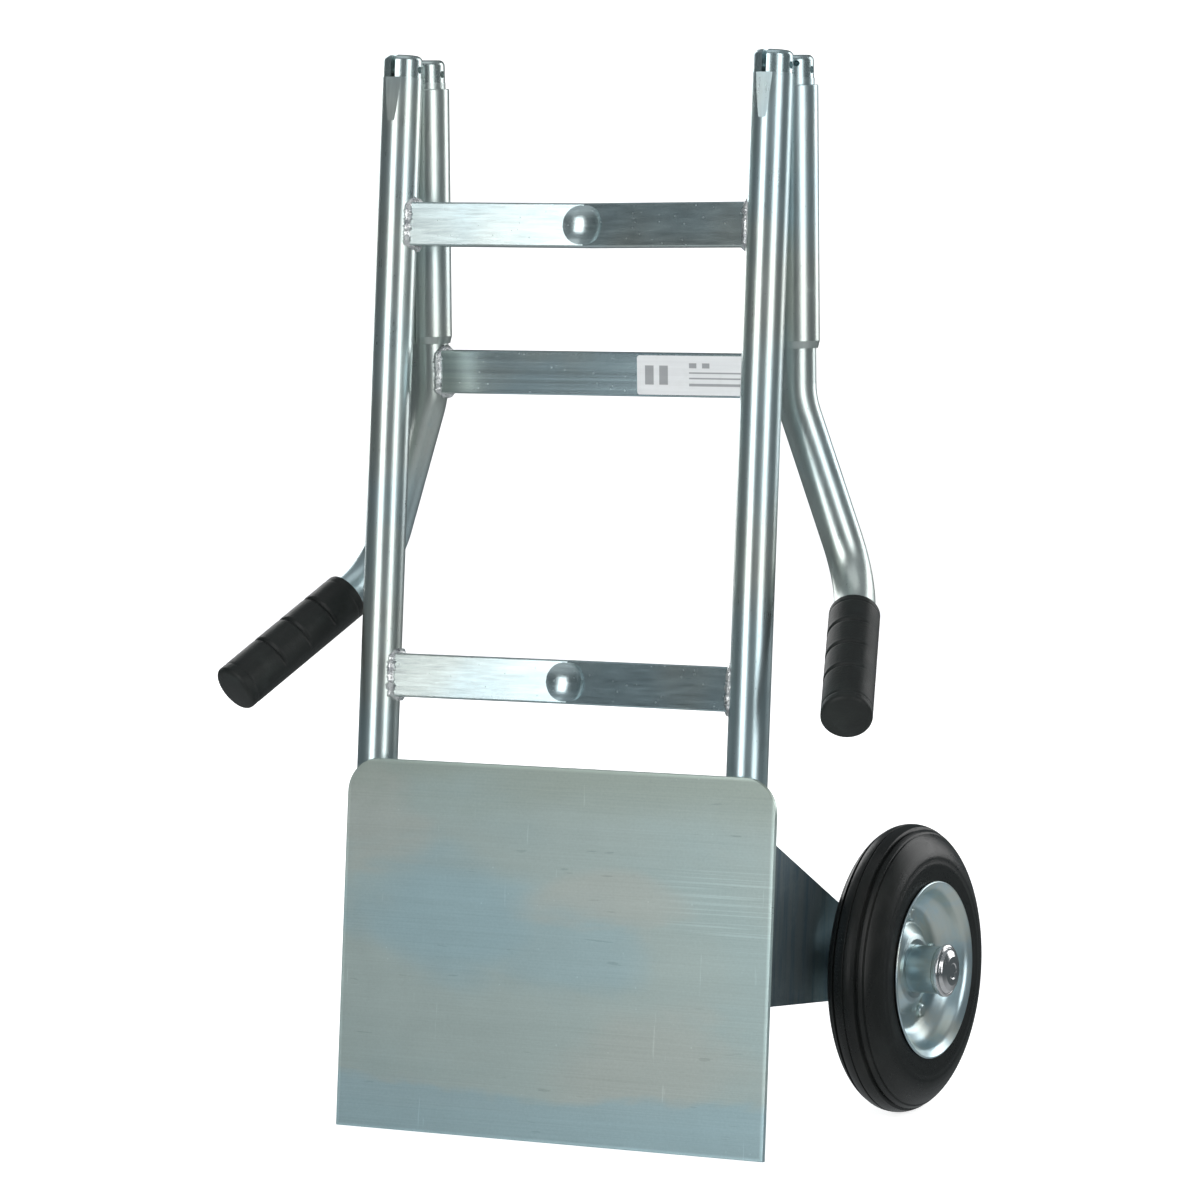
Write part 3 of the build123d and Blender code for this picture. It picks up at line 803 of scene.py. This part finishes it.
class HANDTRUCK_OT_welds(TruckOperator):
    """Lays the weld beads of the crossbars and the wheel brackets"""
    bl_idname = "hand_truck.welds"
    bl_label = "Weld Beads"

    def make(self):
        size = sizes()
        metal = weld_finish()
        frames = (
            ("frame_welds", "frame", upright(), (size.upper_bar, size.lower_bar), size.bar_bow),
            ("handle_welds", "handle_frame", hanging(), (size.handle_bar,), 0.0),
        )
        for node, body, place, bars, bow in frames:
            beads = []
            for row, base in enumerate(bars):
                for _side_name, side in SIDES:
                    path = bar_end_path(side, base, bow, place)
                    beads.append(swept_bead(path, size.bead_radius, 11 + 7 * row + side))
            points, faces = joined(beads)
            new_piece(f"{node}_beads", points, faces, body, "weld", metal, (node,), sharp=60)
        for side_name, side in SIDES:
            path = bracket_path(side, upright())
            points, faces = swept_bead(path, size.bead_radius * 0.85, 31 + side)
            new_piece(f"{side_name}_bracket_bead", points, faces, "frame", "weld", metal,
                      (f"{side_name}_bracket_welds",), sharp=60)


class HANDTRUCK_OT_fittings(TruckOperator):
    """Finishes the plugs, links, pins, axle and other small steel pieces"""
    bl_idname = "hand_truck.fittings"
    bl_label = "Plugs, Links and Pins"

    def make(self):
        zinc = tuple(finishes().zinc)
        metal = zinc_finish("zinc_fitting", tinted(zinc, 0.94, 0.95, 0.95), "Z", 0.26, lines=0.6)
        paint(both("frame_plug", "handle_plug", "fold_link", "axle_spacer", "axle_washers"), metal)
        paint(["toe_rod_clips"], metal)
        round_bar = zinc_finish("zinc_axle", tinted(zinc, 0.9, 0.9, 0.9), "X", stain=0.6)
        paint(["axle", "toe_hinge_rod", "frame_fold_pins", "handle_fold_pins"], round_bar)


class HANDTRUCK_OT_toe_plate(TruckOperator):
    """Finishes the toe plate"""
    bl_idname = "hand_truck.toe_plate"
    bl_label = "Toe Plate"

    def make(self):
        paint(["toe_plate"], sheet_finish())


class HANDTRUCK_OT_brackets(TruckOperator):
    """Finishes the wheel brackets and the ears of the toe plate"""
    bl_idname = "hand_truck.brackets"
    bl_label = "Brackets"

    def make(self):
        paint(both("wheel_bracket") + ["toe_plate_ears"], bracket_finish())


def turned_piece(name, outline, side_name, sharp, *piece):
    """Piece turned about the axle of one wheel from an outline in millimetres."""
    points, faces = turned_mesh(rounded(scaled(outline)), sizes().turning_steps)
    return new_piece(name, points, faces, *piece, wheel_place(side_name), sharp)


# (distance from the middle plane, radius, corner radius) in millimetres
RIM_HALF = (
    (0.1, 30.2, 2.0), (0.1, 45.8, 5.0), (9.1, 53.8, 12.0), (18.1, 57.2, 5.0), (20.5, 60.8, 1.0),
    (21.8, 61.7, 0.8), (22.8, 60.6, 1.2), (19.3, 55.4, 8.0), (10.2, 52.0, 16.0), (1.7, 43.8, 9.0),
    (1.7, 31.5, 4.0), (6.8, 24.0, 4.0), (7.7, 20.5, 2.0), (7.7, 16.6, 0.2), (6.1, 16.6, 0.2),
    (6.1, 19.8, 2.0),
)
TYRE_SEAT = ((20.4, 65.6, 1.0), (20.3, 61.4, 0.6), (17.8, 57.6, 0.0), (9.0, 54.2, 0.0))
TYRE_HALF, TYRE_MIDDLE, TYRE_RISE = 21.0, 72.0, 28.0
# (distance from the middle plane, half width, depth)
TYRE_GROOVES = ((0.0, 0.6, 0.9), (8.5, 1.3, 2.4), (12.6, 0.55, 0.8))


def tyre_outline():
    """Half outline of the rounded tyre section, from the tread to the seat."""
    def surface(x):
        return TYRE_MIDDLE + TYRE_RISE * math.sqrt(1 - (x / TYRE_HALF) ** 2)

    outline = []
    for x, width, depth in TYRE_GROOVES:
        bottom = surface(x) - depth
        if x:
            outline += [(x - width - 0.5, surface(x - width - 0.5), 0.2),
                        (x - width, surface(x - width), 0.2), (x - width / 2, bottom, 0.15)]
        else:
            outline.append((0.0, bottom, 0.0))
        outline += [(x + width / 2, bottom, 0.2), (x + width, surface(x + width), 0.35)]
        if not x:
            outline += [(step * 1.1, surface(step * 1.1), 0.0) for step in range(1, 6)]
    for degree in range(48, -1, -3):
        angle = math.radians(degree)
        outline.append((TYRE_HALF * math.cos(angle), TYRE_MIDDLE + TYRE_RISE * math.sin(angle), 0.0))
    # a fine moulding line low on the side wall
    outline[-4:-2] = [(x - 0.18, r, 0.3) for x, r, _corner in outline[-4:-2]]
    return outline + list(TYRE_SEAT) + [(0.0, 46.3, 0.0)]


class HANDTRUCK_OT_tyres(TruckOperator):
    """Turns the solid rubber tyres with their tread grooves"""
    bl_idname = "hand_truck.tyres"
    bl_label = "Tyres"

    def make(self):
        rubber = tyre_finish()
        half = tyre_outline()
        other = [(-x, r, corner) for x, r, corner in reversed(half[1:-1])]
        for side_name, _side in SIDES:
            turned_piece(f"{side_name}_tyre_rubber", half + other, side_name, 50,
                         f"{side_name}_wheel", "tyre_rubber", rubber, (f"{side_name}_tyre",))


class HANDTRUCK_OT_rims(TruckOperator):
    """Turns the pressed rim halves and finishes the rivets and hub tubes"""
    bl_idname = "hand_truck.rims"
    bl_label = "Rims and Rivets"

    def make(self):
        metal = rim_finish()
        for side_name, _side in SIDES:
            for half, sign in (("outer", 1), ("inner", -1)):
                outline = [(sign * x, r, corner) for x, r, corner in RIM_HALF]
                turned_piece(f"{side_name}_{half}_rim_pressing", outline, side_name, 40,
                             f"{side_name}_wheel", "zinc_rim", metal, (f"{side_name}_{half}_rim",))
        paint(both("rim_rivets", "hub_tube"), metal)


# (distance from the middle plane of the wheel, radius, corner radius) in millimetres
CAP_OUTLINE = (
    (28.9, 0.0, 0.0), (28.9, 17.7, 0.3), (29.4, 18.2, 0.4), (31.9, 18.2, 1.2), (32.5, 16.4, 0.5),
    (32.3, 15.6, 0.4), (34.4, 14.2, 2.0), (35.9, 10.0, 3.0), (36.25, 5.6, 0.6), (35.75, 5.0, 0.4),
    (35.8, 0.0, 0.0),
)


class HANDTRUCK_OT_hubs(TruckOperator):
    """Finishes the bearing bushes and turns the domed chrome axle caps"""
    bl_idname = "hand_truck.hubs"
    bl_label = "Hubs and Caps"

    def make(self):
        paint(both("hub_bushes"), plastic_finish())
        metal = chrome_finish()
        for side_name, _side in SIDES:
            turned_piece(f"{side_name}_domed_cap", CAP_OUTLINE, side_name, 40,
                         "frame", "chrome_cap", metal, (f"{side_name}_axle_cap",))


# Grip in millimetres: size, rounding of its ends, and (place, depth, width) of its moulded lines
GRIP_LENGTH, GRIP_RADIUS = 115.0, 17.5
GRIP_CLOSED_END, GRIP_OPEN_END = 3.4, 1.6
GRIP_RINGS = ((6.0, 0.35, 0.7), (107.0, 0.40, 0.8))
FINGER_LINES = (28.0, 53.0, 78.0)
# Radius of the grip's bore, its length on the tube and the middle of its end face, in metres
GRIP_BORE, GRIP_ON_TUBE, GRIP_CENTRE = 0.01405, 0.111, 0.1146


def grip_skin(along, toward_palm):
    """Radius of a grip in millimetres: finger lines on one side only, beads and rounded ends."""
    def dip(place, width):
        return math.exp(-((along - place) / width) ** 2)

    def rounding(past, corner):
        share = min(1.0, max(0.0, past) / corner)
        return corner * (1 - math.sqrt(1 - share ** 2))

    radius = GRIP_RADIUS - sum(depth * dip(place, width) for place, depth, width in GRIP_RINGS)
    lines = 1 / (1 + math.exp(-(toward_palm - 0.45) * 14))
    for line in FINGER_LINES:
        radius -= lines * (1.5 * dip(line, 1.1) + 0.15 - 0.15 * dip(line - 2.6, 1.2))
    radius -= rounding(along - (GRIP_LENGTH - GRIP_CLOSED_END), GRIP_CLOSED_END)
    return radius - rounding(GRIP_OPEN_END - along, GRIP_OPEN_END)


def grip_mesh(side, steps=120, rings=190):
    """Closed grip round the end of a handle tube."""
    place = hanging()
    last, before = Vector(sizes().grip_end), Vector(sizes().grip_bend)
    for corner in (last, before):
        corner.x *= side
    way = (place.to_3x3() @ (last - before)).normalized()
    palm = place.to_3x3() @ Vector((-0.45 * side, -0.30, 0.84))
    palm = (palm - way * palm.dot(way)).normalized()
    aside = way.cross(palm)
    start = place @ last - way * GRIP_ON_TUBE
    angles = [2 * math.pi * step / steps for step in range(steps)]
    points = []

    def point(depth, angle, radius):
        around = palm * math.cos(angle) + aside * math.sin(angle)
        return start + way * depth + around * radius

    for ring in range(rings + 1):
        along = GRIP_LENGTH * ring / rings
        points += [point(along * MM, angle, grip_skin(along, math.cos(angle)) * MM)
                   for angle in angles]
    faces = loop_faces(rings + 1, steps, closed=False)
    inner = len(points)
    for depth in (0.0, 0.004):
        points += [point(depth, angle, GRIP_BORE) for angle in angles]
    for step in range(steps):
        after = (step + 1) % steps
        faces.append((step, inner + step, inner + after, after))
        faces.append((inner + step, inner + steps + step, inner + steps + after, inner + after))
    faces.append(tuple(range(inner + steps, inner + 2 * steps)))
    end = rings * steps
    centre = len(points)
    points.append(start + way * GRIP_CENTRE)
    for step in range(steps):
        faces.append((end + step, end + (step + 1) % steps, centre))
    return points, faces


class HANDTRUCK_OT_grips(TruckOperator):
    """Moulds the rubber grips with their finger lines"""
    bl_idname = "hand_truck.grips"
    bl_label = "Grips"

    def make(self):
        rubber = grip_finish()
        for side_name, side in SIDES:
            points, faces = grip_mesh(side)
            new_piece(f"{side_name}_moulded_grip", points, faces, "handle_frame", "grip_rubber",
                      rubber, (f"{side_name}_grip",), sharp=50)


# Plain print of the label as fractions of it: (left, right, bottom, top)
LABEL_MARKS = (
    (0.40, 0.95, 0.22, 0.30), (0.40, 0.80, 0.40, 0.45), (0.40, 0.88, 0.54, 0.59),
    (0.06, 0.13, 0.25, 0.75), (0.17, 0.24, 0.25, 0.75), (0.40, 0.46, 0.68, 0.82),
    (0.50, 0.56, 0.68, 0.82),
)


class HANDTRUCK_OT_label(TruckOperator):
    """Finishes the blank rating label"""
    bl_idname = "hand_truck.label"
    bl_label = "Rating Label"

    def make(self):
        finish = Finish("label")
        colour = tuple(finishes().label)
        here = finish.place()
        foil = finish.noise(finish.place((2, 1, 60)), 9.0, 3.0)
        low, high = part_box("rating_label")
        across, up = finish.axis(here, "X") - low.x, finish.axis(here, "Z") - low.z
        length, height = high.x - low.x, high.z - low.z

        def block(x0, x1, z0, z1):
            inside = (across - x0 * length).least(x1 * length - across)
            inside = inside.least(up - z0 * height).least(z1 * height - up)
            return inside.between(0.0, 0.0003)

        print_marks = block(*LABEL_MARKS[0])
        for mark in LABEL_MARKS[1:]:
            print_marks = print_marks.most(block(*mark))
        grime = finish.noise(here, 70.0, 4.0).between(0.5, 0.7)
        tone = finish.mix(grime * 0.25, colour, tinted(colour, 0.8, 0.8, 0.78))
        tone = finish.mix(print_marks * 0.65, tone, (0.10, 0.11, 0.12))
        tone = finish.shade(tone, 1.0 + (foil - 0.5) * 0.2)
        paint(["rating_label"], finish.surface(
            Base_Color=tone, Metallic=0.35, Roughness=0.30 + grime * 0.2,
            Normal=finish.bump(foil, 0.1, 0.0003)))


# Name, direction in degrees, distance, height, width and height of each softbox, and its power
SOFTBOXES = (
    ("key_softbox", -5, 2.6, 0.95, (1.35, 2.1), "key_power"),
    ("side_softbox", 66, 2.6, 0.95, (1.1, 2.1), "side_power"),
    ("back_softbox_left", -125, 3.0, 1.3, (1.4, 2.2), "back_power"),
    ("back_softbox_right", 150, 3.0, 1.3, (1.4, 2.2), "back_power"),
    ("top_softbox", 20, 0.5, 3.2, (2.4, 2.4), "top_power"),
)
SOFTBOX_AIM = Vector((0, 0, 0.42))
# Room light below, level with and above the truck
LOW_AIR, LEVEL_AIR, HIGH_AIR = (4.2, 4.4, 4.5), (0.80, 0.95, 1.0), (2.2, 2.4, 2.5)
# (radius, height) of the floor's flat middle and its far rim
FLOOR_PROFILE = (
    (3.0, 0.0), (7.0, 0.0), (8.2, 0.12), (9.2, 0.55), (9.8, 1.3), (10.0, 2.4), (10.0, 4.2),
)


class HANDTRUCK_OT_stage(TruckOperator):
    """Sets up the pale floor, the softboxes and the camera"""
    bl_idname = "hand_truck.stage"
    bl_label = "Stage"

    def make(self):
        self.floor()
        for name, azimuth, distance, height, size, power in SOFTBOXES:
            self.softbox(name, azimuth, distance, height, size, getattr(studio(), power))
        self.room()
        bpy.context.scene.view_settings.view_transform = "Standard"
        self.camera()

    def room(self):
        """Soft light all round, brighter from below and above."""
        world = bpy.data.worlds.new("room")
        world.use_nodes = True
        sheet = Sheet(world.node_tree)
        up = sheet.axis(sheet.add("ShaderNodeTexCoord", output="Generated"), "Z")
        tone = sheet.mix(up.between(-0.16, -0.60), LEVEL_AIR, LOW_AIR)
        tone = sheet.mix(up.between(0.30, 0.85), tone, HIGH_AIR)
        background = world.node_tree.nodes["Background"]
        sheet.feed(background.inputs["Color"], tone)
        background.inputs["Strength"].default_value = studio().air
        bpy.context.scene.world = world

    def floor(self):
        """Round floor whose rim curves up far away, so that every side has the same backdrop."""
        steps = 96
        points = [(0, 0, 0)]
        faces = []
        for radius, height in FLOOR_PROFILE:
            for step in range(steps):
                angle = 2 * math.pi * step / steps
                points.append((radius * math.cos(angle), radius * math.sin(angle), height))
        for step in range(steps):
            faces.append((0, 1 + step, 1 + (step + 1) % steps))
        for ring in range(len(FLOOR_PROFILE) - 1):
            for step in range(steps):
                here, there = 1 + ring * steps, 1 + (ring + 1) * steps
                after = (step + 1) % steps
                faces.append((here + step, there + step, there + after, here + after))
        mesh = bpy.data.meshes.new("studio_floor")
        mesh.from_pydata(points, [], faces)
        mesh.polygons.foreach_set("use_smooth", [True] * len(mesh.polygons))
        finish = Finish("floor_paint")
        cloud = finish.noise(finish.place(), 0.7, 2.0)
        mesh.materials.append(finish.surface(
            Base_Color=finish.shade(tuple(finishes().floor), 0.99 + cloud * 0.02), Roughness=0.75,
            Emission_Color=(1, 1, 1), Emission_Strength=0.78))
        floor = bpy.data.objects.new("studio_floor", mesh)
        bpy.context.scene.collection.objects.link(floor)
        floor.visible_glossy = False

    def softbox(self, name, azimuth, distance, height, size, power):
        """Rectangular light that faces the truck and isn't seen itself."""
        data = bpy.data.lights.new(name, "AREA")
        data.shape = "RECTANGLE"
        data.size, data.size_y = size
        data.energy = power
        lamp = bpy.data.objects.new(name, data)
        bpy.context.scene.collection.objects.link(lamp)
        angle = math.radians(azimuth)
        lamp.location = (distance * math.sin(angle), -distance * math.cos(angle), height)
        aim = SOFTBOX_AIM - lamp.location
        lamp.rotation_euler = aim.to_track_quat("-Z", "Y").to_euler()
        lamp.visible_camera = False

    def camera(self):
        """Camera on the view's azimuth and elevation, aimed at its target."""
        view = studio()
        away = Vector((math.sin(view.azimuth) * math.cos(view.elevation),
                       -math.cos(view.azimuth) * math.cos(view.elevation), math.sin(view.elevation)))
        data = bpy.data.cameras.new("camera")
        data.sensor_width = 36.0
        data.lens = view.lens
        data.clip_start, data.clip_end = 0.1, 60.0
        camera = bpy.data.objects.new("camera", data)
        bpy.context.scene.collection.objects.link(camera)
        camera.location = Vector(view.target) + away * view.distance
        turn = (-away).to_track_quat("-Z", "Y").to_matrix() @ Matrix.Rotation(view.roll, 3, "Z")
        camera.rotation_euler = turn.to_euler()
        bpy.context.scene.camera = camera


class HANDTRUCK_PT_panel(bpy.types.Panel):
    """Lists the steps that finish the hand truck"""
    bl_idname = "HANDTRUCK_PT_panel"
    bl_label = "Hand Truck"
    bl_space_type = "VIEW_3D"
    bl_region_type = "UI"
    bl_category = "Hand Truck"

    def draw(self, context):
        for operator in OPERATORS:
            self.layout.operator(operator.bl_idname)


OPERATORS = (
    HANDTRUCK_OT_tubes, HANDTRUCK_OT_crossbars, HANDTRUCK_OT_welds, HANDTRUCK_OT_fittings,
    HANDTRUCK_OT_toe_plate, HANDTRUCK_OT_brackets, HANDTRUCK_OT_tyres, HANDTRUCK_OT_rims,
    HANDTRUCK_OT_hubs, HANDTRUCK_OT_grips, HANDTRUCK_OT_label, HANDTRUCK_OT_stage,
)
SETTINGS = (
    ("hand_truck_sizes", HandTruckSizes),
    ("hand_truck_finishes", HandTruckFinishes),
    ("hand_truck_studio", HandTruckStudio),
)


def register():
    for name, group in SETTINGS:
        bpy.utils.register_class(group)
        setattr(bpy.types.Scene, name, PointerProperty(type=group))
    for operator in OPERATORS:
        bpy.utils.register_class(operator)
    bpy.utils.register_class(HANDTRUCK_PT_panel)


def unregister():
    bpy.utils.unregister_class(HANDTRUCK_PT_panel)
    for operator in reversed(OPERATORS):
        bpy.utils.unregister_class(operator)
    for name, group in reversed(SETTINGS):
        delattr(bpy.types.Scene, name)
        bpy.utils.unregister_class(group)


def main():
    register()
    for operator in OPERATORS:
        group, name = operator.bl_idname.split(".")
        getattr(getattr(bpy.ops, group), name)()
    bpy.context.view_layer.update()


if __name__ == "__main__":
    main()
